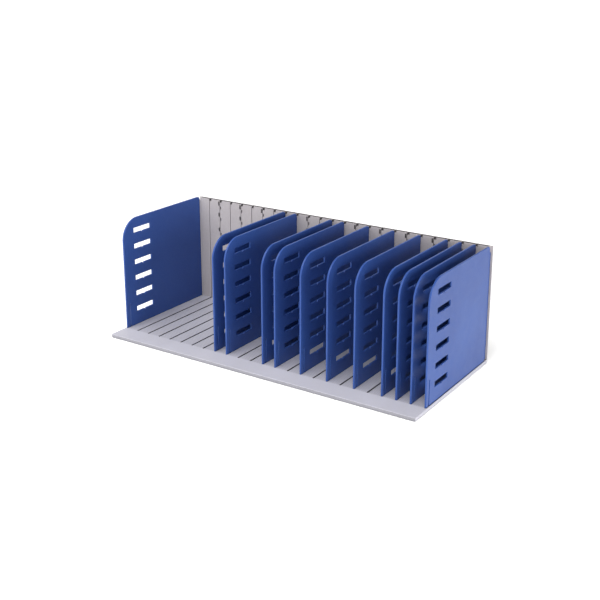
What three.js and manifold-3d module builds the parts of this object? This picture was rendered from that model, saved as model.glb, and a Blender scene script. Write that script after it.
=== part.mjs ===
// Desktop file sorter: a flat ribbed base, an upright back wall and a row of upright panels that
// stand in the base's slots, run in the wall's grooves and lift straight up out of both.
// Millimetres, +Z up, +X to the right and -Y to the front. The origin is on the desk, in the
// middle of the footprint.
import * as THREE from 'three';
import { mergeVertices } from 'three/addons/utils/BufferGeometryUtils.js';
import Module from 'manifold-3d';

const wasm = await Module();
wasm.setup();

// ---- Driving dimensions ----
const WIDTH = 723;
const DEPTH = 312.5;
const SLOT_PITCH = 29.8;
const SLOT_COUNT = 25;
// The slots that hold a panel, from left to right, numbered from the right end.
const PANEL_POSITIONS = [24, 16, 15, 12, 11, 9, 7, 5, 3, 2, 1, 0];
const CLEARANCE = 0.3;

const FOOT_PROUD = 1; // how far the feet lift the skirt off the desk
const BASE_THICKNESS = 7;
const BASE_SKIN = 2.4;
const SKIRT_WALL = 2.2;
const BASE_CORNER_RADIUS = 3;
const BASE_TOP = FOOT_PROUD + BASE_THICKNESS;

const PANEL_THICKNESS = 3.6;
const PANEL_HEIGHT = 238.5; // above the base's top face
const PANEL_LENGTH = 256; // of the full-thickness plate, front to back
const PANEL_INSET = 46; // from the base's front edge to the panels' front edges
const FRONT_CORNER_RADIUS = 45;
const BACK_CORNER_RADIUS = 7;
const PANEL_CURVE_SEGMENTS = 12;

const FOOT_TONGUE_DEPTH = 4; // the lower edge's thinner strip, inside the base's slot
const FOOT_TONGUE_THICKNESS = 3;
const REAR_TONGUE_DEPTH = 7; // the rear edge's thinner strip, inside the wall's groove
const REAR_TONGUE_THICKNESS = 1;
const REAR_TONGUE_BOTTOM = 2; // its two ends, above the base's top face
const REAR_TONGUE_TOP = 226;
const REAR_TONGUE_LEAD_IN = 3;

const WINDOW_COUNT = 6;
const WINDOW_LENGTH = 52.5;
const WINDOW_HEIGHT = 10.9;
const WINDOW_PITCH = 35.3;
const WINDOW_INSET = 32.5; // from the panel's front edge
const LOWEST_WINDOW = 28.5; // its lower edge, above the base's top face
const NICK_WIDTH = 5.2; // small V in the middle of each window's lower edge
const NICK_DEPTH = 3.2;

const SPRING_SLIT_INSET = 9.6; // leaves a narrow strip at the front that springs into the slot
const SPRING_SLIT_WIDTH = 2.4;
const SPRING_SLIT_HEIGHT = 50; // to its round upper end
const SLIT_END_SEGMENTS = 6;

const WALL_HEIGHT = 237; // above the base's top face
const WALL_SKIN = 2.2; // front and rear
const GROOVE_WIDTH = 1.6;
const GROOVE_WALL = 1.4;
const GROOVE_MOUTH_REACH = 6; // the notch at the top, from the groove's middle to the right
const GROOVE_MOUTH_HEIGHT = 5;
const END_RIB_WIDTH = 8; // raised strip beside each end groove
const END_RIB_PROUD = 0.4;

const SLOT_BAND = 6.4; // thicker band under each slot, which holds the panel's foot upright
const SLOT_BAND_BOTTOM = 3.4;
const SLOT_BAND_END = 2; // how far it runs past its slot, front and back
const CROSS_RIB = 1.6;
const CROSS_RIB_BOTTOM = 2.6;
const CROSS_RIB_Y = -15;

const TAB_WIDTH = 18; // plug-in tabs under the wall
const TAB_THICKNESS = 4;
const TAB_LENGTH = 4.4;
const TAB_GAPS = [-10.5, -6.5, -2.5, 2.5, 6.5, 10.5]; // in slot pitches from the middle

const FOOT_RADIUS = 8;
const FOOT_SEAT_RADIUS = 9;
const FOOT_THICKNESS = 2.2;
const FOOT_CHAMFER = 0.4;
const FOOT_SEGMENTS = 16;
const FOOT_X_PITCHES = [-11.5, -3.5, 3.5, 11.5];
const FOOT_Y = [-133, 122];

// How far pieces that are joined run into each other, and how far a cutter runs past what it cuts.
const SINK = 0.5;
const OVERCUT = 1;

// ---- Derived places ----
const frontY = -DEPTH / 2;
const backY = DEPTH / 2;
const panelFrontY = frontY + PANEL_INSET;
const panelBackY = panelFrontY + PANEL_LENGTH;
const wallFrontY = panelBackY + CLEARANCE;
const wallFloorY = backY - WALL_SKIN;
const wallBottom = BASE_TOP + CLEARANCE;
const wallTop = BASE_TOP + WALL_HEIGHT;
const baseUnderside = BASE_TOP - BASE_SKIN;

// X of a slot's centre, from its number counted from the right end.
const slotX = (number) => ((SLOT_COUNT - 1) / 2 - number) * SLOT_PITCH;
const slotNumbers = Array.from({ length: SLOT_COUNT }, (_, number) => number);

// ---- Materials ----
const plastic = (color, roughness) => new THREE.MeshStandardMaterial({ color, roughness, metalness: 0 });
const lightGrey = () => plastic(0xc4c4cc, 0.55);
const cobaltBlue = () => plastic(0x3c5ea8, 0.45);
const darkRubber = () => plastic(0x2b2c30, 0.9);

// ---- Solids ----
function toSolid(geometry) {
  geometry.deleteAttribute('normal');
  geometry.deleteAttribute('uv');
  const merged = mergeVertices(geometry);
  return new wasm.Manifold(new wasm.Mesh({
    numProp: 3,
    vertProperties: merged.attributes.position.array,
    triVerts: Uint32Array.from(merged.index.array),
  }));
}

function toGeometry(solid) {
  const mesh = solid.getMesh();
  const geometry = new THREE.BufferGeometry();
  geometry.setAttribute('position', new THREE.BufferAttribute(mesh.vertProperties, mesh.numProp));
  geometry.setIndex(new THREE.BufferAttribute(mesh.triVerts, 1));
  geometry.computeVertexNormals();
  return geometry;
}

// A box solid from its low and high corners.
function block([x0, y0, z0], [x1, y1, z1]) {
  const geometry = new THREE.BoxGeometry(x1 - x0, y1 - y0, z1 - z0);
  geometry.translate((x0 + x1) / 2, (y0 + y1) / 2, (z0 + z1) / 2);
  return toSolid(geometry);
}

const joined = (solids) => solids.reduce((sum, solid) => sum.add(solid));
const cutBy = (solid, cutters) => solid.subtract(joined(cutters));

// A rectangle with round corners, centred on the origin.
function roundedRectangle(width, depth, radius) {
  const x = width / 2 - radius;
  const y = depth / 2 - radius;
  const shape = new THREE.Shape();
  shape.absarc(x, -y, radius, -Math.PI / 2, 0, false);
  shape.absarc(x, y, radius, 0, Math.PI / 2, false);
  shape.absarc(-x, y, radius, Math.PI / 2, Math.PI, false);
  shape.absarc(-x, -y, radius, Math.PI, Math.PI * 1.5, false);
  return shape;
}

const extruded = (shape, depth, curveSegments) => new THREE.ExtrudeGeometry(
  shape, { depth, bevelEnabled: false, curveSegments },
);

function slab(shape, bottom, top) {
  const geometry = extruded(shape, top - bottom, 4);
  geometry.translate(0, 0, bottom);
  return toSolid(geometry);
}

// ---- Base ----
function baseShell() {
  const outer = slab(roundedRectangle(WIDTH, DEPTH, BASE_CORNER_RADIUS), FOOT_PROUD, BASE_TOP);
  const innerRadius = BASE_CORNER_RADIUS - SKIRT_WALL;
  const inner = roundedRectangle(WIDTH - 2 * SKIRT_WALL, DEPTH - 2 * SKIRT_WALL, innerRadius);
  return outer.subtract(slab(inner, 0, baseUnderside));
}

// Bands under the slots, a rib across them and round seats for the feet, all on the skin's underside.
function baseStiffeners() {
  const skirtLine = (side) => side * (WIDTH / 2 - SKIRT_WALL + SINK);
  const bands = slotNumbers.map((number) => block(
    [Math.max(slotX(number) - SLOT_BAND / 2, skirtLine(-1)), panelFrontY - SLOT_BAND_END, SLOT_BAND_BOTTOM],
    [Math.min(slotX(number) + SLOT_BAND / 2, skirtLine(1)), panelBackY + SLOT_BAND_END, baseUnderside + SINK],
  ));
  const rib = block(
    [skirtLine(-1), CROSS_RIB_Y - CROSS_RIB / 2, CROSS_RIB_BOTTOM],
    [skirtLine(1), CROSS_RIB_Y + CROSS_RIB / 2, baseUnderside + SINK],
  );
  const seats = footCentres().map(([x, y]) => {
    const height = baseUnderside + SINK - FOOT_THICKNESS - CLEARANCE;
    const disc = new THREE.CylinderGeometry(FOOT_SEAT_RADIUS, FOOT_SEAT_RADIUS, height, FOOT_SEGMENTS);
    disc.rotateX(Math.PI / 2);
    disc.translate(x, y, FOOT_THICKNESS + CLEARANCE + height / 2);
    return toSolid(disc);
  });
  return [...bands, rib, ...seats];
}

const tabY = (wallFrontY + wallFloorY) / 2;

// The openings in the base's top: one slot for each panel position and one for each tab.
function baseCuts() {
  const half = FOOT_TONGUE_THICKNESS / 2 + CLEARANCE;
  const slots = slotNumbers.map((number) => block(
    [slotX(number) - half, panelFrontY - CLEARANCE, 0],
    [slotX(number) + half, panelBackY + CLEARANCE, BASE_TOP + OVERCUT],
  ));
  const holeX = TAB_WIDTH / 2 + CLEARANCE;
  const holeY = TAB_THICKNESS / 2 + CLEARANCE;
  const tabHoles = TAB_GAPS.map((pitches) => block(
    [pitches * SLOT_PITCH - holeX, tabY - holeY, 0],
    [pitches * SLOT_PITCH + holeX, tabY + holeY, BASE_TOP + OVERCUT],
  ));
  return [...slots, ...tabHoles];
}

const basePlate = () => cutBy(joined([baseShell(), ...baseStiffeners()]), baseCuts());

// ---- Back wall ----
// The wall's section seen from above: a flat rear skin, and a front skin that turns back to it on
// both sides of every groove, so that there is a chamber from each groove to the next. A floor closes
// the chambers at the bottom, and the outermost grooves are open to the side.
function wallSections() {
  const halfGroove = GROOVE_WIDTH / 2;
  const section = [block([-WIDTH / 2, wallFloorY, wallBottom], [WIDTH / 2, backY, wallTop])];
  for (const number of slotNumbers.slice(1)) {
    const left = slotX(number) + halfGroove;
    const right = slotX(number - 1) - halfGroove;
    const rear = wallFloorY + SINK;
    section.push(block([left, wallFrontY, wallBottom], [right, wallFrontY + WALL_SKIN, wallTop]));
    section.push(block([left, wallFrontY, wallBottom], [left + GROOVE_WALL, rear, wallTop]));
    section.push(block([right - GROOVE_WALL, wallFrontY, wallBottom], [right, rear, wallTop]));
    section.push(block([left, wallFrontY, wallBottom], [right, rear, wallBottom + WALL_SKIN]));
  }
  return section;
}

function endRibs() {
  const inner = slotX(0) - PANEL_THICKNESS / 2 - CLEARANCE;
  return [-1, 1].map((side) => block(
    [Math.min(side * inner, side * (inner - END_RIB_WIDTH)), wallFrontY - END_RIB_PROUD, wallBottom],
    [Math.max(side * inner, side * (inner - END_RIB_WIDTH)), wallFrontY + SINK, wallTop],
  ));
}

function wallTabs() {
  return TAB_GAPS.map((pitches) => block(
    [pitches * SLOT_PITCH - TAB_WIDTH / 2, tabY - TAB_THICKNESS / 2, BASE_TOP - TAB_LENGTH],
    [pitches * SLOT_PITCH + TAB_WIDTH / 2, tabY + TAB_THICKNESS / 2, wallBottom + SINK],
  ));
}

// A notch on the right of each groove at the top, where a panel starts into it.
const grooveMouths = () => slotNumbers.map((number) => block(
  [slotX(number) - GROOVE_WIDTH / 2, wallFrontY - OVERCUT, wallTop - GROOVE_MOUTH_HEIGHT],
  [slotX(number) + GROOVE_MOUTH_REACH, wallFloorY, wallTop + OVERCUT],
));

const backWall = () => cutBy(joined([...wallSections(), ...endRibs(), ...wallTabs()]), grooveMouths());

// ---- Panels ----
// A long level window with square ends and a nick in its lower edge.
function windowHole(bottom) {
  const middle = WINDOW_INSET + WINDOW_LENGTH / 2;
  const hole = new THREE.Path();
  hole.moveTo(WINDOW_INSET, bottom);
  hole.lineTo(middle - NICK_WIDTH / 2, bottom);
  hole.lineTo(middle, bottom - NICK_DEPTH);
  hole.lineTo(middle + NICK_WIDTH / 2, bottom);
  hole.lineTo(WINDOW_INSET + WINDOW_LENGTH, bottom);
  hole.lineTo(WINDOW_INSET + WINDOW_LENGTH, bottom + WINDOW_HEIGHT);
  hole.lineTo(WINDOW_INSET, bottom + WINDOW_HEIGHT);
  hole.closePath();
  return hole;
}

// Adds the slit to the outline: up from the lower edge, round its end and down again.
function springSlit(shape, lowerEdge) {
  const radius = SPRING_SLIT_WIDTH / 2;
  shape.lineTo(SPRING_SLIT_INSET, lowerEdge);
  for (let i = 0; i <= SLIT_END_SEGMENTS; i += 1) {
    const angle = Math.PI * (1 - i / SLIT_END_SEGMENTS);
    const x = SPRING_SLIT_INSET + radius * (1 + Math.cos(angle));
    shape.lineTo(x, SPRING_SLIT_HEIGHT + radius * Math.sin(angle));
  }
  shape.lineTo(SPRING_SLIT_INSET + SPRING_SLIT_WIDTH, lowerEdge);
}

// The panel's side view: X runs from its front edge to the back, Y up from the base's top face.
function panelShape() {
  const lowerEdge = -FOOT_TONGUE_DEPTH;
  const rearEnd = PANEL_LENGTH + REAR_TONGUE_DEPTH;
  const shape = new THREE.Shape();
  shape.moveTo(0, lowerEdge);
  springSlit(shape, lowerEdge);
  shape.lineTo(PANEL_LENGTH, lowerEdge);
  shape.lineTo(PANEL_LENGTH, REAR_TONGUE_BOTTOM);
  shape.lineTo(rearEnd, REAR_TONGUE_BOTTOM);
  shape.lineTo(rearEnd, REAR_TONGUE_TOP - REAR_TONGUE_LEAD_IN);
  shape.lineTo(rearEnd - REAR_TONGUE_LEAD_IN, REAR_TONGUE_TOP);
  shape.lineTo(PANEL_LENGTH, REAR_TONGUE_TOP);
  shape.lineTo(PANEL_LENGTH, PANEL_HEIGHT - BACK_CORNER_RADIUS);
  const backCorner = [PANEL_LENGTH - BACK_CORNER_RADIUS, PANEL_HEIGHT - BACK_CORNER_RADIUS];
  shape.absarc(...backCorner, BACK_CORNER_RADIUS, 0, Math.PI / 2, false);
  const frontCorner = [FRONT_CORNER_RADIUS, PANEL_HEIGHT - FRONT_CORNER_RADIUS];
  shape.absarc(...frontCorner, FRONT_CORNER_RADIUS, Math.PI / 2, Math.PI, false);
  shape.closePath();
  for (let i = 0; i < WINDOW_COUNT; i += 1) {
    shape.holes.push(windowHole(LOWEST_WINDOW + i * WINDOW_PITCH));
  }
  return shape;
}

// Turns the side view upright: its X runs to the back, its Y up, and its thickness to the right.
const upright = new THREE.Matrix4().makeBasis(
  new THREE.Vector3(0, 1, 0), new THREE.Vector3(0, 0, 1), new THREE.Vector3(1, 0, 0),
);

// One panel, with the front lower corner of its full-thickness plate at the origin.
function panel() {
  const half = PANEL_THICKNESS / 2;
  const plate = extruded(panelShape(), PANEL_THICKNESS, PANEL_CURVE_SEGMENTS);
  plate.translate(0, 0, -half);
  plate.applyMatrix4(upright);
  const rebates = [-1, 1].flatMap((side) => {
    const footInner = side * FOOT_TONGUE_THICKNESS / 2;
    const rearInner = side * REAR_TONGUE_THICKNESS / 2;
    const outer = side * (half + OVERCUT);
    return [
      block(
        [Math.min(footInner, outer), -OVERCUT, -FOOT_TONGUE_DEPTH - OVERCUT],
        [Math.max(footInner, outer), PANEL_LENGTH + OVERCUT, 0],
      ),
      block(
        [Math.min(rearInner, outer), PANEL_LENGTH, -OVERCUT],
        [Math.max(rearInner, outer), PANEL_LENGTH + REAR_TONGUE_DEPTH + OVERCUT, PANEL_HEIGHT],
      ),
    ];
  });
  return toGeometry(cutBy(toSolid(plate), rebates));
}

// ---- Feet ----
function footCentres() {
  return FOOT_X_PITCHES.flatMap((pitches) => FOOT_Y.map((y) => [pitches * SLOT_PITCH, y]));
}

function foot() {
  const profile = [
    new THREE.Vector2(0, 0),
    new THREE.Vector2(FOOT_RADIUS - FOOT_CHAMFER, 0),
    new THREE.Vector2(FOOT_RADIUS, FOOT_CHAMFER),
    new THREE.Vector2(FOOT_RADIUS, FOOT_THICKNESS),
    new THREE.Vector2(0, FOOT_THICKNESS),
  ];
  const geometry = new THREE.LatheGeometry(profile, FOOT_SEGMENTS);
  geometry.rotateX(Math.PI / 2);
  return toGeometry(toSolid(geometry));
}

// ---- Assembly ----
const group = new THREE.Group();

function addPart(name, geometry, material, x = 0, y = 0, z = 0) {
  const mesh = new THREE.Mesh(geometry, material);
  mesh.name = name;
  mesh.position.set(x, y, z);
  group.add(mesh);
}

addPart('base_plate', toGeometry(basePlate()), lightGrey());
addPart('back_wall', toGeometry(backWall()), lightGrey());

// The end panels and the dividers between them are one moulding.
const panelName = (index) => {
  if (index === 0) return 'left_side_panel';
  if (index === PANEL_POSITIONS.length - 1) return 'right_side_panel';
  return `divider_${index}`;
};
PANEL_POSITIONS.forEach((number, index) => {
  addPart(panelName(index), panel(), cobaltBlue(), slotX(number), panelFrontY, BASE_TOP + CLEARANCE);
});

footCentres().forEach(([x, y], index) => {
  addPart(`foot_${index + 1}`, foot(), darkRubber(), x, y, 0);
});

export default group;
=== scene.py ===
"""Looks of the desktop file sorter: detailed copies of its CAD parts, their plastics, and a studio.

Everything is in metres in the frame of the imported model: +Z up, front towards -Y.
"""

import math
from dataclasses import dataclass, replace

import bmesh
import bpy
from mathutils import Matrix, Vector


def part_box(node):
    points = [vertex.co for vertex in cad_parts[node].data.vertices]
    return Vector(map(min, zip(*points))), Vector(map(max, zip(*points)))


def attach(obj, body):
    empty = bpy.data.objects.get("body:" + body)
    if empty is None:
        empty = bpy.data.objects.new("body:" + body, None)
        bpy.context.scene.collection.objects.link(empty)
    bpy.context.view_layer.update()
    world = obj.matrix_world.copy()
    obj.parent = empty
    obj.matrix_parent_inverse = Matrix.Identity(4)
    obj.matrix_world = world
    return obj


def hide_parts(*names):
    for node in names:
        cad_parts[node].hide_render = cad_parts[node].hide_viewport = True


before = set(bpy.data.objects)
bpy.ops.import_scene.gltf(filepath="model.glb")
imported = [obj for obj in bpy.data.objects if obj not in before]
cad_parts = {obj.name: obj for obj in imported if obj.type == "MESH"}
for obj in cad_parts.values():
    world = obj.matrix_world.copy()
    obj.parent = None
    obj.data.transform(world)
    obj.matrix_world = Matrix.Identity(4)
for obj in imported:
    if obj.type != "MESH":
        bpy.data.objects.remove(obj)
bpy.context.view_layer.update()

MM = 0.001

# ---- Places, from the frame ----
PANELS = ["left_side_panel"] + [f"divider_{i}" for i in range(1, 11)] + ["right_side_panel"]
FEET = [f"foot_{i}" for i in range(1, 9)]
SLOT_COUNT = 25

base_low, base_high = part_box("base_plate")
wall_low, wall_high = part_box("back_wall")
panel_low, panel_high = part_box("right_side_panel")
last_slot_x = (panel_low.x + panel_high.x) / 2
slot_pitch = 2 * last_slot_x / (SLOT_COUNT - 1)
slot_x = [last_slot_x - number * slot_pitch for number in range(SLOT_COUNT)]
panel_half = (panel_high.x - panel_low.x) / 2

# ---- Edge rounding ----
PANEL_EDGE = 0.7 * MM
TONGUE_EDGE = 0.3 * MM
BASE_RIM = 1.1 * MM
SLOT_EDGE = 0.35 * MM
SKIRT_EDGE = 0.4 * MM
WALL_EDGE = 0.3 * MM
EDGE_STEPS = 3
WIDEST_EDGE = max(PANEL_EDGE, BASE_RIM)
SMOOTH_ANGLE = math.radians(32)
BLEND_ANGLE = math.radians(50)
NEAR = 0.02 * MM  # two coordinates this close are the same plane
SAME_POINT = 0.002 * MM
FLAT_ANGLE = math.radians(1)
SHOULDER_REACH = 1 * MM  # from the base's top, where the panels' lower edges are
ACROSS_TONGUE = 4 * MM  # an edge across a tongue's thickness is shorter than this
RIM_WIDTH = 3 * MM  # of the strip along the base's outer edges

# ---- Windows of the back wall, measured from a groove's middle and down from the wall's top ----
LEFT_WINDOW = {"x": (-4.6 * MM, -1.1 * MM), "height": 10 * MM, "centres": (7.5 * MM, 33.6 * MM)}
RIGHT_WINDOW = {"x": (1.1 * MM, 3.8 * MM), "height": 7 * MM, "centres": (17 * MM, 44 * MM)}
WINDOW_REPEAT = 35 * MM
WINDOWS_BELOW = 6
WINDOW_CUT_DEPTH = 3.2 * MM
WINDOW_CUT_AHEAD = 1 * MM
WINDOWED_SLOTS = range(2, SLOT_COUNT - 1, 2)  # every other groove, but not the outermost two


# ---- Meshes ----
def link(name, data):
    """A new object in the scene, made from a mesh, a camera or a light."""
    item = bpy.data.objects.new(name, data)
    bpy.context.scene.collection.objects.link(item)
    return item


def flat_faced_copy(node, name):
    """A new object with the CAD node's shape, its triangles merged into flat faces."""
    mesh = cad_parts[node].data.copy()
    mesh.materials.clear()
    if mesh.attributes.get("custom_normal"):
        mesh.attributes.remove(mesh.attributes["custom_normal"])
    bm = bmesh.new()
    bm.from_mesh(mesh)
    bmesh.ops.remove_doubles(bm, verts=bm.verts, dist=SAME_POINT)
    bmesh.ops.dissolve_limit(
        bm, angle_limit=FLAT_ANGLE, verts=bm.verts, edges=bm.edges, use_dissolve_boundaries=False
    )
    bm.to_mesh(mesh)
    bm.free()
    return link(name, mesh)


def apply_modifiers(piece):
    """Makes what the modifiers do part of the mesh, and removes them."""
    graph = bpy.context.evaluated_depsgraph_get()
    graph.update()
    mesh = bpy.data.meshes.new_from_object(piece.evaluated_get(graph), depsgraph=graph)
    piece.modifiers.clear()
    old = piece.data
    piece.data = mesh
    bpy.data.meshes.remove(old)
    mesh.name = piece.name


def round_edges(piece, radius_of):
    """Rounds each convex edge by radius_of(edge), which is a length, or 0 to leave it sharp."""
    bm = bmesh.new()
    bm.from_mesh(piece.data)
    bm.normal_update()
    weights = bm.edges.layers.float.new("bevel_weight_edge")
    for edge in bm.edges:
        if edge.is_convex and edge.calc_face_angle() > SMOOTH_ANGLE:
            edge[weights] = radius_of(edge) / WIDEST_EDGE
    bm.to_mesh(piece.data)
    bm.free()
    bevel = piece.modifiers.new("edges", "BEVEL")
    bevel.limit_method = "WEIGHT"
    bevel.width = WIDEST_EDGE
    bevel.segments = EDGE_STEPS
    bevel.use_clamp_overlap = False
    bevel.loop_slide = False
    apply_modifiers(piece)
    shade(piece)


def shade(piece):
    """Flat faces shade flat and rounded edges run smoothly into them: a large face outweighs small ones."""
    bm = bmesh.new()
    bm.from_mesh(piece.data)
    bm.normal_update()
    areas = [face.calc_area() for face in bm.faces]
    limit = math.cos(BLEND_ANGLE)
    normals = []
    for face in bm.faces:
        face.smooth = True
        for vert in face.verts:
            total = Vector()
            for other in vert.link_faces:
                if other.normal.dot(face.normal) > limit:
                    total += other.normal * areas[other.index] ** 2
            normals.append(total.normalized() if total.length else face.normal.copy())
    bm.to_mesh(piece.data)
    bm.free()
    piece.data.normals_split_custom_set(normals)


def boxes_mesh(name, boxes):
    """One mesh of separate boxes, each given by its low and high corners."""
    bm = bmesh.new()
    for low, high in boxes:
        low, high = Vector(low), Vector(high)
        matrix = Matrix.Translation((low + high) / 2) @ Matrix.Diagonal((*(high - low), 1))
        bmesh.ops.create_cube(bm, size=1, matrix=matrix)
    mesh = bpy.data.meshes.new(name)
    bm.to_mesh(mesh)
    bm.free()
    return mesh


def cut(piece, boxes):
    """Takes the boxes out of the piece."""
    cutter = link("cutter", boxes_mesh("cutter", boxes))
    boolean = piece.modifiers.new("cut", "BOOLEAN")
    boolean.operation = "DIFFERENCE"
    boolean.solver = "MANIFOLD"
    boolean.object = cutter
    apply_modifiers(piece)
    bpy.data.objects.remove(cutter)


def stand_in(piece, node, body, material):
    """Gives the piece its material and puts it in the place of a CAD node, on that node's body."""
    piece.data.materials.clear()
    piece.data.materials.append(material)
    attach(piece, body)
    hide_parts(node)


def lies_at(edge, axis, value):
    """Whether both ends of the edge have this coordinate on this axis."""
    return all(abs(vert.co[axis] - value) < NEAR for vert in edge.verts)


# ---- Panels ----
def make_panel(node, material):
    piece = flat_faced_copy(node, f"{node}_moulding")
    low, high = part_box(node)
    middle = (low.x + high.x) / 2

    def radius(edge):
        """Wide round the panel itself, narrow along its tongues, and none across a tongue's thickness."""
        offsets = [abs(vert.co.x - middle) for vert in edge.verts]
        if all(abs(offset - panel_half) < NEAR for offset in offsets):
            on_shoulder = all(abs(vert.co.z - base_high.z) < SHOULDER_REACH for vert in edge.verts)
            return 0 if on_shoulder else PANEL_EDGE
        across = abs(offsets[0] - offsets[1]) < NEAR and edge.calc_length() < ACROSS_TONGUE
        return 0 if across else TONGUE_EDGE

    round_edges(piece, radius)
    stand_in(piece, node, node, material)


# ---- Base ----
def make_base(material):
    piece = flat_faced_copy("base_plate", "base_moulding")
    outer_x = base_high.x - RIM_WIDTH
    outer_y = base_high.y - RIM_WIDTH

    def radius(edge):
        middle = (edge.verts[0].co + edge.verts[1].co) / 2
        on_rim = abs(middle.x) > outer_x or abs(middle.y) > outer_y
        if lies_at(edge, 2, base_high.z):
            return BASE_RIM if on_rim else SLOT_EDGE
        if lies_at(edge, 2, base_low.z):
            return SKIRT_EDGE
        return 0

    round_edges(piece, radius)
    stand_in(piece, "base_plate", "rack", material)


# ---- Back wall ----
def window_boxes():
    """The small windows beside the grooves: one near the wall's top and a regular row below it."""
    boxes = []
    for number in WINDOWED_SLOTS:
        for window in (LEFT_WINDOW, RIGHT_WINDOW):
            near, far = (slot_x[number] + offset for offset in window["x"])
            first, second = window["centres"]
            depths = [first] + [second + i * WINDOW_REPEAT for i in range(WINDOWS_BELOW)]
            for depth in depths:
                z = wall_high.z - depth
                boxes.append((
                    (near, wall_low.y - WINDOW_CUT_AHEAD, z - window["height"] / 2),
                    (far, wall_low.y + WINDOW_CUT_DEPTH, z + window["height"] / 2),
                ))
    return boxes


def make_wall(material):
    piece = flat_faced_copy("back_wall", "wall_moulding")

    def radius(edge):
        if lies_at(edge, 2, wall_high.z) or lies_at(edge, 1, wall_high.y):
            return WALL_EDGE
        return 0

    cut(piece, window_boxes())
    round_edges(piece, radius)
    stand_in(piece, "back_wall", "rack", material)


# ---- Feet ----
FOOT_STEPS = 48
FOOT_ROUND = 0.5 * MM  # round lower rim
FOOT_RINGS = (2.2 * MM, 4.2 * MM, 6.2 * MM)  # radii of the grip grooves in its underside
RING_HALF = 0.35 * MM
RING_DEPTH = 0.35 * MM


def foot_profile(radius, bottom, top):
    """From the axis at the bottom, outwards and up to the axis at the top, as (radius, height)."""
    points = [(0, bottom)]
    for ring in FOOT_RINGS:
        points.append((ring - RING_HALF, bottom))
        points.append((ring, bottom + RING_DEPTH))
        points.append((ring + RING_HALF, bottom))
    for i in range(EDGE_STEPS + 1):
        angle = math.pi / 2 * i / EDGE_STEPS
        points.append((
            radius - FOOT_ROUND * (1 - math.sin(angle)),
            bottom + FOOT_ROUND * (1 - math.cos(angle)),
        ))
    return points + [(radius, top), (0, top)]


def lathe(name, profile, centre):
    """A closed solid of revolution round the vertical line through centre."""
    bm = bmesh.new()
    rings = []
    for radius, height in profile:
        if radius == 0:
            rings.append([bm.verts.new((centre.x, centre.y, height))] * FOOT_STEPS)
            continue
        rings.append([
            bm.verts.new((
                centre.x + radius * math.cos(2 * math.pi * i / FOOT_STEPS),
                centre.y + radius * math.sin(2 * math.pi * i / FOOT_STEPS),
                height,
            ))
            for i in range(FOOT_STEPS)
        ])
    for lower, upper in zip(rings, rings[1:]):
        for i in range(FOOT_STEPS):
            j = (i + 1) % FOOT_STEPS
            corners = [lower[i], lower[j], upper[j], upper[i]]
            bm.faces.new(list(dict.fromkeys(corners)))
    bmesh.ops.recalc_face_normals(bm, faces=bm.faces)
    mesh = bpy.data.meshes.new(name)
    bm.to_mesh(mesh)
    bm.free()
    return link(name, mesh)


def make_foot(node, material):
    low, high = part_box(node)
    piece = lathe(f"{node}_pad", foot_profile((high.x - low.x) / 2, low.z, high.z), (low + high) / 2)
    shade(piece)
    stand_in(piece, node, "rack", material)


# ---- Colours, in linear light ----
BLUE = (0.034, 0.084, 0.305)
BLUE_DEEP = (0.028, 0.068, 0.260)
# A paler blue for the mottle and the edges; on the edges it is partly wear and partly a painted highlight.
BLUE_WORN_AND_HIGHLIGHT = (0.130, 0.230, 0.520)
BLUE_SHADED = (0.008, 0.014, 0.055)
GREY = (0.490, 0.482, 0.540)
GREY_DEEP = (0.445, 0.437, 0.488)
GREY_WORN = (0.620, 0.615, 0.665)
# Near-black: the tone of the hatch lines, and of the painted shade in the base's slots and crevices and in
# the wall's hollows.
GREY_HATCH_AND_SHADE = (0.030, 0.028, 0.034)
WARM_GREY = (0.430, 0.398, 0.402)
WARM_GREY_DEEP = (0.388, 0.355, 0.357)
RUBBER = (0.022, 0.022, 0.024)
RUBBER_WORN = (0.050, 0.050, 0.052)


# ---- Material nodes ----
NOISE_MIDDLE = (0.35, 0.65)  # a noise mostly keeps between these heights
NOISE_MOST = (0.3, 0.7)  # and almost always between these
EDGE_COSINE = 0.8  # between the rounded and the true normal where an edge counts in full
EDGE_SAMPLES = 6
CREVICE_RANGE = (0.52, 0.36)  # open share at which a crevice begins, and at which it is deep
CREVICE_SAMPLES = 12
LEVEL = 0.9  # a face whose normal is higher than this lies flat
UPRIGHT = 0.5  # and one whose normal is lower than this stands up


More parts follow.
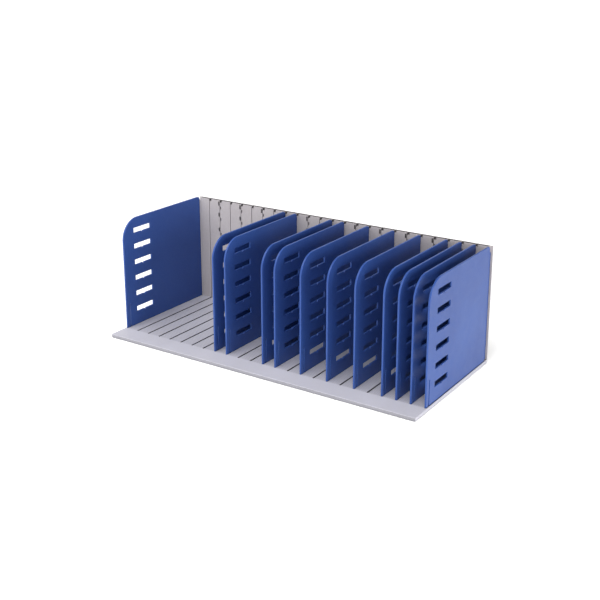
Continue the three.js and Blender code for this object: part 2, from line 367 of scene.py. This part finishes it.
class Nodes:
    """A new material's node tree, with short calls that add a node and link its inputs."""

    def __init__(self, name):
        self.material = bpy.data.materials.new(name)
        self.material.use_nodes = True
        self.tree = self.material.node_tree
        self.shader = self.tree.nodes["Principled BSDF"]

    def add(self, kind, inputs=None, **settings):
        node = self.tree.nodes.new(f"ShaderNode{kind}")
        for name, value in settings.items():
            setattr(node, name, value)
        for name, value in (inputs or {}).items():
            self.set(node, name, value)
        return node

    def set(self, node, name, value):
        """Links a node's output to an input, or gives the input a value."""
        socket = node.inputs[name]
        if isinstance(value, bpy.types.NodeSocket):
            self.tree.links.new(value, socket)
        elif isinstance(value, tuple) and len(value) == 3 and socket.type == "RGBA":
            socket.default_value = (*value, 1)
        else:
            socket.default_value = value

    def place(self):
        """The point in the model's frame at rest, in metres, which moves with the piece."""
        return self.add("TexCoord").outputs["Object"]

    def axes(self, vector):
        """The vector's x, y and z."""
        return self.add("SeparateXYZ", {"Vector": vector}).outputs[:]

    def noise(self, scale, detail):
        """A height from 0 to 1 that changes about scale times in a metre."""
        inputs = {"Vector": self.place(), "Scale": scale, "Detail": detail}
        return self.add("TexNoise", inputs).outputs["Fac"]

    def spread(self, value, low, high, out_low=0.0, out_high=1.0):
        """Value from low to high becomes out_low to out_high."""
        inputs = {"Value": value, 1: low, 2: high, 3: out_low, 4: out_high}
        return self.add("MapRange", inputs).outputs["Result"]

    def maths(self, operation, *values):
        return self.add("Math", dict(enumerate(values)), operation=operation).outputs[0]

    def below(self, value, limit):
        """1 where value is less than limit, and 0 elsewhere."""
        return self.maths("LESS_THAN", value, limit)

    def times(self, product, *factors):
        for factor in factors:
            product = self.maths("MULTIPLY", product, factor)
        return product

    def mix(self, share, first, second):
        node = self.add("Mix", {0: share, 6: first, 7: second}, data_type="RGBA")
        return node.outputs[2]

    def upward(self):
        """The height of the true surface normal: 1 on top faces and 0 on upright ones."""
        return self.axes(self.add("NewGeometry").outputs["True Normal"])[2]

    def edges(self, radius):
        """0 on flat faces and up to 1 along edges, softly, within about radius."""
        rounded = self.add("Bevel", {"Radius": radius}, samples=EDGE_SAMPLES).outputs["Normal"]
        true = self.add("NewGeometry").outputs["Normal"]
        cosine = self.add("VectorMath", {0: rounded, 1: true}, operation="DOT_PRODUCT").outputs["Value"]
        return self.spread(cosine, 1.0, EDGE_COSINE)

    def crevices(self, reach):
        """How much painted shade goes on: 1 deep in slots, grooves and small windows, and 0 on open faces and
        plain inner corners.
        """
        occlusion = self.add("AmbientOcclusion", {"Distance": reach}, samples=CREVICE_SAMPLES)
        return self.spread(occlusion.outputs["AO"], *CREVICE_RANGE)

    def bumps(self, *layers):
        """Stacks bump layers, each a height from 0 to 1 and its depth in metres."""
        normal = None
        for height, depth in layers:
            inputs = {"Height": height, "Distance": depth}
            if normal:
                inputs["Normal"] = normal
            normal = self.add("Bump", inputs).outputs["Normal"]
        self.set(self.shader, "Normal", normal)

    def finish(self, colour, roughness, specular):
        self.set(self.shader, "Base Color", colour)
        self.set(self.shader, "Roughness", roughness)
        self.set(self.shader, "Specular IOR Level", specular)
        return self.material


# ---- Plastics ----
@dataclass
class Plastic:
    """How a moulded plastic looks. Scales are per metre, widths and depths in metres, and shares up to 1."""

    light: tuple
    deep: tuple
    wear_and_highlight: tuple
    cloud_scale: float
    mottle_scale: float
    mottle_share: float
    wear_and_highlight_width: float
    wear_and_highlight_share: float
    wave_scale: float
    wave_depth: float
    grain_scale: float
    grain_depth: float
    gloss_scale: float
    roughness: tuple
    specular: float


PANEL_PLASTIC = Plastic(
    light=BLUE,
    deep=BLUE_DEEP,
    wear_and_highlight=BLUE_WORN_AND_HIGHLIGHT,
    cloud_scale=7,
    mottle_scale=420,
    mottle_share=0.07,
    # The panels' paler edges: partly wear, partly a painted highlight.
    wear_and_highlight_width=1.3 * MM,
    wear_and_highlight_share=0.6,
    wave_scale=16,
    wave_depth=0.35 * MM,
    grain_scale=1700,
    grain_depth=0.012 * MM,
    gloss_scale=60,
    roughness=(0.29, 0.36),
    specular=0.3,
)
BASE_PLASTIC = Plastic(
    light=GREY,
    deep=GREY_DEEP,
    wear_and_highlight=GREY_WORN,
    cloud_scale=5,
    mottle_scale=380,
    mottle_share=0.12,
    wear_and_highlight_width=1.2 * MM,
    wear_and_highlight_share=0.45,
    wave_scale=10,
    wave_depth=0.3 * MM,
    grain_scale=1500,
    grain_depth=0.015 * MM,
    gloss_scale=40,
    roughness=(0.42, 0.52),
    specular=0.5,
)
WALL_PLASTIC = replace(BASE_PLASTIC, light=WARM_GREY, deep=WARM_GREY_DEEP)

EDGE_PATCH_SCALE = 45
EDGE_PATCH_RANGE = (0.35, 0.7)
LEAST_EDGE_SHARE = 0.25  # what is left of the paler edges between their patches: wear, and on the panels partly a painted highlight
BLUE_IOR = 1.4
BLUE_CREVICE_REACH = 4 * MM
GREY_CREVICE_REACH = 6 * MM


def worn_and_highlit_edges(nodes, width, share):
    """How much paler the edges are, more in some places than in others: rubbed by handling, and on the blue
    panels partly a painted highlight.
    """
    patches = nodes.spread(nodes.noise(EDGE_PATCH_SCALE, detail=4), *EDGE_PATCH_RANGE, LEAST_EDGE_SHARE, 1.0)
    return nodes.times(nodes.edges(width), patches, share)


def plastic_body(nodes, plastic):
    """The plastic's colour: slow clouds between two tones, a fine mottle, and paler edges."""
    clouds = nodes.spread(nodes.noise(plastic.cloud_scale, detail=3), *NOISE_MIDDLE)
    mottle = nodes.spread(nodes.noise(plastic.mottle_scale, detail=2), *NOISE_MOST, 0.0, plastic.mottle_share)
    colour = nodes.mix(clouds, plastic.deep, plastic.light)
    colour = nodes.mix(mottle, colour, plastic.wear_and_highlight)
    return nodes.mix(worn_and_highlit_edges(nodes, plastic.wear_and_highlight_width, plastic.wear_and_highlight_share), colour, plastic.wear_and_highlight)


def plastic_surface(nodes, plastic, colour, *more_bumps):
    """The finished material: the colour with uneven gloss, slight waves and grain."""
    waves = (nodes.noise(plastic.wave_scale, detail=1), plastic.wave_depth)
    grain = (nodes.noise(plastic.grain_scale, detail=2), plastic.grain_depth)
    nodes.bumps(waves, grain, *more_bumps)
    roughness = nodes.spread(nodes.noise(plastic.gloss_scale, detail=3), *NOISE_MOST, *plastic.roughness)
    return nodes.finish(colour, roughness, plastic.specular)


def blue_plastic():
    nodes = Nodes("cobalt_blue")
    colour = plastic_body(nodes, PANEL_PLASTIC)
    # Painted shade: darker deep in slots, grooves and windows, from ambient occlusion.
    colour = nodes.mix(nodes.crevices(BLUE_CREVICE_REACH), colour, BLUE_SHADED)
    nodes.set(nodes.shader, "IOR", BLUE_IOR)
    return plastic_surface(nodes, PANEL_PLASTIC, colour)


# ---- Base's plastic ----
HATCH_PITCH = 3 * MM
HATCH_ANGLES = (45, -45)
HATCH_LINE = (0.5, 0.9)  # heights of the wave between which a line fades in
HATCH_FADE = 1 * MM
HATCH_SHARE = 0.28
HATCH_DEPTH = 0.12 * MM
WAVE_PERIOD = math.pi / 10  # of the wave texture at scale 1
FRONT_SHADE = (0.42, 0.55)  # at the front lip's top and at its bottom
FRONT_REACH = 1.5 * MM
SLOT_SHADE = 0.9


def base_plastic():
    nodes = Nodes("light_grey_base")
    hatch = document_floor_hatch(nodes)
    colour = plastic_body(nodes, BASE_PLASTIC)
    colour = nodes.mix(nodes.times(hatch, HATCH_SHARE), colour, GREY_HATCH_AND_SHADE)
    # Painted shade: the front lip darker towards its bottom, and the slot walls dark.
    colour = nodes.mix(upright_shade(nodes), colour, GREY_HATCH_AND_SHADE)
    # Painted shade deep in slots and crevices, from ambient occlusion.
    colour = nodes.mix(nodes.crevices(GREY_CREVICE_REACH), colour, GREY_HATCH_AND_SHADE)
    sunk_lines = nodes.maths("SUBTRACT", 1.0, hatch)
    return plastic_surface(nodes, BASE_PLASTIC, colour, (sunk_lines, HATCH_DEPTH))


def document_floor_hatch(nodes):
    """Fine crossed lines on the base's top, behind the line of the panels' front edges."""
    lines = []
    for angle in HATCH_ANGLES:
        turned = nodes.add("Mapping", {"Vector": nodes.place(), "Rotation": (0, 0, math.radians(angle))})
        wave = nodes.add("TexWave", {"Vector": turned.outputs["Vector"], "Scale": WAVE_PERIOD / HATCH_PITCH})
        lines.append(nodes.spread(wave.outputs["Fac"], *HATCH_LINE))
    crossed = nodes.maths("MAXIMUM", *lines)
    y = nodes.axes(nodes.place())[1]
    behind = nodes.spread(y, panel_low.y - HATCH_FADE, panel_low.y + HATCH_FADE)
    on_top = nodes.maths("GREATER_THAN", nodes.upward(), LEVEL)
    return nodes.times(crossed, behind, on_top)


def upright_shade(nodes):
    """Painted shade on the upright faces of the front lip, darker towards its bottom, and more on the slot
    walls.
    """
    x, y, z = nodes.axes(nodes.place())
    front = nodes.below(y, base_low.y + FRONT_REACH)
    lip = nodes.times(front, nodes.spread(z, base_high.z, base_low.z, *FRONT_SHADE))
    inside_x = nodes.below(nodes.maths("ABSOLUTE", x), base_high.x - RIM_WIDTH)
    inside_y = nodes.below(nodes.maths("ABSOLUTE", y), base_high.y - RIM_WIDTH)
    slots = nodes.times(inside_x, inside_y, SLOT_SHADE)
    return nodes.times(nodes.maths("MAXIMUM", lip, slots), nodes.below(nodes.upward(), UPRIGHT))


# ---- Back wall's plastic ----
HOLLOW_FRONT = (2.2 * MM, 3.8 * MM)  # behind the front face, where the painted shade begins and where it is full
HOLLOW_REAR = 0.4 * MM  # before the rear face
HOLLOW_END = 2 * MM  # from the outermost grooves towards the middle
HOLLOW_SHADE = 0.85


def wall_plastic():
    nodes = Nodes("light_grey_wall")
    # Painted shade in the wall's grooves and hollow chambers.
    colour = nodes.mix(hollow_shade(nodes), plastic_body(nodes, WALL_PLASTIC), GREY_HATCH_AND_SHADE)
    return plastic_surface(nodes, WALL_PLASTIC, colour)


def hollow_shade(nodes):
    """Painted shade in the wall's grooves and chambers, which lie between its front and rear faces."""
    x, y = nodes.axes(nodes.place())[:2]
    begins, full = (wall_low.y + depth for depth in HOLLOW_FRONT)
    behind = nodes.spread(y, begins, full)
    ahead = nodes.below(y, wall_high.y - HOLLOW_REAR)
    between = nodes.below(nodes.maths("ABSOLUTE", x), last_slot_x - HOLLOW_END)
    return nodes.times(behind, ahead, between, nodes.below(nodes.upward(), UPRIGHT), HOLLOW_SHADE)


# ---- Rubber ----
RUBBER_GRAIN_SCALE = 1500
RUBBER_GRAIN_DEPTH = 0.05 * MM
RUBBER_GRAIN_SHARE = 0.3
RUBBER_GRAIN_RANGE = (0.4, 0.8)
RUBBER_WEAR_WIDTH = 0.8 * MM
RUBBER_WEAR_SHARE = 0.8
RUBBER_GLOSS_SCALE = 300
RUBBER_ROUGHNESS = (0.75, 0.9)
RUBBER_SPECULAR = 0.3


def rubber():
    nodes = Nodes("rubber")
    grain = nodes.noise(RUBBER_GRAIN_SCALE, detail=4)
    rubbed = nodes.spread(grain, *RUBBER_GRAIN_RANGE, 0.0, RUBBER_GRAIN_SHARE)
    colour = nodes.mix(worn_and_highlit_edges(nodes, RUBBER_WEAR_WIDTH, RUBBER_WEAR_SHARE), RUBBER, RUBBER_WORN)
    colour = nodes.mix(rubbed, colour, RUBBER_WORN)
    nodes.bumps((grain, RUBBER_GRAIN_DEPTH))
    roughness = nodes.spread(nodes.noise(RUBBER_GLOSS_SCALE, detail=3), *NOISE_MOST, *RUBBER_ROUGHNESS)
    return nodes.finish(colour, roughness, RUBBER_SPECULAR)


# ---- Studio ----
CAMERA_AZIMUTH = 33.4
CAMERA_ELEVATION = 16.48
CAMERA_DISTANCE = 2.036
CAMERA_TARGET = Vector((0.0166, -0.0003, 0.2395))
CAMERA_LENS = 61.4
CAMERA_SHIFT = -0.1
CAMERA_RANGE = (0.05, 200)
FLOOR_SIZE = 60
FLOOR_WHITE = (0.97, 0.97, 0.97)
FLOOR_GLOW = 0.26  # keeps the floor white next to the object
FLOOR_ROUGHNESS = 0.9
FLOOR_SPECULAR = 0.2
HORIZON = {"height": 0.15, "light": 1.0}
CEILING = {"height": 0.6, "light": 0.1}


def direction(azimuth, elevation):
    """Unit vector towards a place round the object; azimuth 0 is in front and 90 degrees to the right."""
    azimuth, elevation = math.radians(azimuth), math.radians(elevation)
    level = math.cos(elevation)
    return Vector((math.sin(azimuth) * level, -math.cos(azimuth) * level, math.sin(elevation)))


def add_aimed(name, data, azimuth, elevation, distance, target):
    """A new camera or light at a place round the target, which it faces."""
    towards = direction(azimuth, elevation)
    item = link(name, data)
    item.location = target + towards * distance
    item.rotation_mode = "QUATERNION"
    item.rotation_quaternion = (-towards).to_track_quat("-Z", "Y")
    return item


def make_camera():
    data = bpy.data.cameras.new("camera")
    data.lens = CAMERA_LENS
    data.shift_y = CAMERA_SHIFT
    data.clip_start, data.clip_end = CAMERA_RANGE
    bpy.context.scene.camera = add_aimed(
        "camera", data, CAMERA_AZIMUTH, CAMERA_ELEVATION, CAMERA_DISTANCE, CAMERA_TARGET
    )


def make_light(name, kind, energy, azimuth, elevation, distance):
    """A light that the camera doesn't see, aimed at the middle of the object's footprint."""
    light = bpy.data.lights.new(name, kind)
    light.energy = energy
    lamp = add_aimed(name, light, azimuth, elevation, distance, Vector())
    lamp.visible_camera = False
    return light


def make_lights():
    """A softbox on the right, a wide soft light from high in front, and a closer fill on the left."""
    softbox = make_light("softbox", "AREA", energy=19.5, azimuth=84, elevation=17, distance=2.4)
    softbox.size = 1.0
    overhead = make_light("overhead", "SUN", energy=2.5, azimuth=8, elevation=58, distance=3)
    overhead.angle = math.radians(40)
    fill = make_light("fill", "AREA", energy=6.5, azimuth=-55, elevation=48, distance=1.3)
    fill.size = 0.8


def make_floor():
    bm = bmesh.new()
    bmesh.ops.create_grid(bm, x_segments=1, y_segments=1, size=FLOOR_SIZE)
    mesh = bpy.data.meshes.new("floor")
    bm.to_mesh(mesh)
    bm.free()
    floor = link("floor", mesh)
    nodes = Nodes("floor")
    nodes.set(nodes.shader, "Emission Color", (1.0, 1.0, 1.0))
    nodes.set(nodes.shader, "Emission Strength", FLOOR_GLOW)
    mesh.materials.append(nodes.finish(FLOOR_WHITE, FLOOR_ROUGHNESS, FLOOR_SPECULAR))


def make_world():
    """White walls at the height of the horizon, which fade to a dim ceiling."""
    world = bpy.data.worlds.new("studio")
    world.use_nodes = True
    tree = world.node_tree
    background = tree.nodes["Background"]
    background.inputs["Color"].default_value = (1, 1, 1, 1)
    place = tree.nodes.new("ShaderNodeTexCoord")
    axes = tree.nodes.new("ShaderNodeSeparateXYZ")
    fade = tree.nodes.new("ShaderNodeMapRange")
    tree.links.new(place.outputs["Generated"], axes.inputs["Vector"])
    tree.links.new(axes.outputs["Z"], fade.inputs["Value"])
    fade.inputs["From Min"].default_value = HORIZON["height"]
    fade.inputs["From Max"].default_value = CEILING["height"]
    fade.inputs["To Min"].default_value = HORIZON["light"]
    fade.inputs["To Max"].default_value = CEILING["light"]
    tree.links.new(fade.outputs["Result"], background.inputs["Strength"])
    bpy.context.scene.world = world


def make_studio():
    make_camera()
    make_floor()
    make_world()
    make_lights()
    bpy.context.scene.view_settings.view_transform = "Standard"


def main():
    blue, black = blue_plastic(), rubber()
    for node in PANELS:
        make_panel(node, blue)
    make_base(base_plastic())
    make_wall(wall_plastic())
    for node in FEET:
        make_foot(node, black)
    make_studio()


main()
